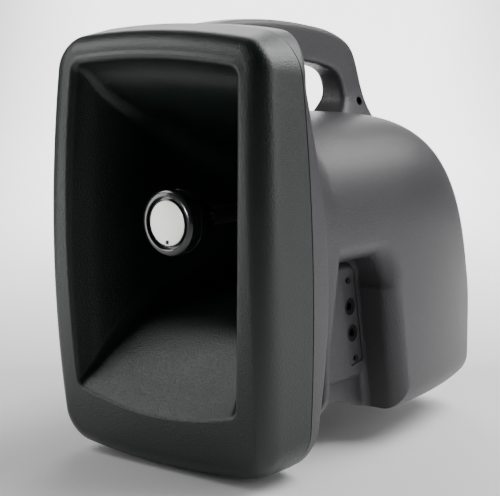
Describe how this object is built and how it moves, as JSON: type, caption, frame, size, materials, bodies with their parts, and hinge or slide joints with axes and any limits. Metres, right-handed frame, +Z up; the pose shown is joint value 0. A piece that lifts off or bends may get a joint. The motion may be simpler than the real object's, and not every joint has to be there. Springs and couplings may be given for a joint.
{
  "type": "horn megaphone",
  "caption": "Self-contained battery horn megaphone with a rectangular mouth, a carry handle moulded on top and recessed side jacks.",
  "frame": {"origin": "centre of the bounding box seen from above, at the lowest point of the front moulding", "axes": "+Z up, the mouth faces -Y, +X is to the right of someone who looks into the mouth"},
  "size_m": [0.2304, 0.34, 0.3428],
  "materials": {
    "front_plastic": "fine moulded grain, satin",
    "seal_rubber": "matt",
    "housing_plastic": "fine moulded grain, satin",
    "gloss_black": "polished",
    "white_disc": "smooth",
    "inner_plastic": "matt",
    "cast_alloy": "cast and turned",
    "plated_steel": "plated",
    "diaphragm_film": "thin film",
    "ferrite": "sintered",
    "screw_steel": "zinc plated",
    "panel_plastic": "fine grain",
    "black_screw": "black oxide",
    "jack_plastic": "moulded",
    "insert_brass": "turned",
    "foot_rubber": "matt",
    "battery_case": "sleeved pack",
    "circuit_board": "solder mask",
    "heat_sink_alloy": "extruded",
    "rocker_plastic": "moulded",
    "knob_plastic": "moulded, fluted",
    "lamp_lens": "clear lens"
  },
  "bodies": {
    "housing": {"horn_moulding": "front_plastic", "rim_seal": "seal_rubber", "rear_housing_right": "housing_plastic", "rear_housing_left": "housing_plastic", "centre_cap": "gloss_black", "cap_disc": "white_disc", "plug_stem": "inner_plastic", "plug_spider": "inner_plastic", "throat_adapter": "cast_alloy", "driver_front_plate": "plated_steel", "driver_diaphragm": "diaphragm_film", "driver_top_plate": "plated_steel", "driver_magnet": "ferrite", "driver_yoke": "plated_steel", "driver_cover": "inner_plastic", "driver_screws": "screw_steel", "jack_panel_right": "panel_plastic", "jack_panel_left": "panel_plastic", "jack_panel_screws": "black_screw", "side_jack_upper": "jack_plastic", "side_jack_lower": "jack_plastic", "stand_insert": "insert_brass", "rear_feet": "foot_rubber", "housing_screws": "black_screw", "battery_pack": "battery_case", "battery_tray": "inner_plastic", "battery_cover": "housing_plastic", "battery_cover_screws": "screw_steel", "amplifier_board": "circuit_board", "heat_sink": "heat_sink_alloy", "board_screws": "screw_steel", "control_panel": "panel_plastic", "panel_screws": "black_screw", "switch_body": "jack_plastic", "microphone_pot": "plated_steel", "line_pot": "plated_steel", "microphone_jack": "jack_plastic", "charge_jack": "jack_plastic", "power_lamp": "lamp_lens"},
    "rocker": {"power_rocker": "rocker_plastic"},
    "microphone_knob": {"microphone_knob": "knob_plastic"},
    "line_knob": {"line_knob": "knob_plastic"}
  },
  "joints": [
    {"name": "power_switch", "type": "hinge", "parent": "housing", "child": "rocker", "pos_m": [-0.044, 0.15417, 0.11159], "axis": [1, 0, 0], "range_deg": [-18, 0]},
    {"name": "microphone_volume", "type": "hinge", "parent": "housing", "child": "microphone_knob", "pos_m": [-0.014, 0.15506, 0.11173], "axis": [0, 0.9877, 0.1564], "range_deg": [0, 300]},
    {"name": "line_volume", "type": "hinge", "parent": "housing", "child": "line_knob", "pos_m": [0.014, 0.15506, 0.11173], "axis": [0, 0.9877, 0.1564], "range_deg": [0, 300]}
  ]
}
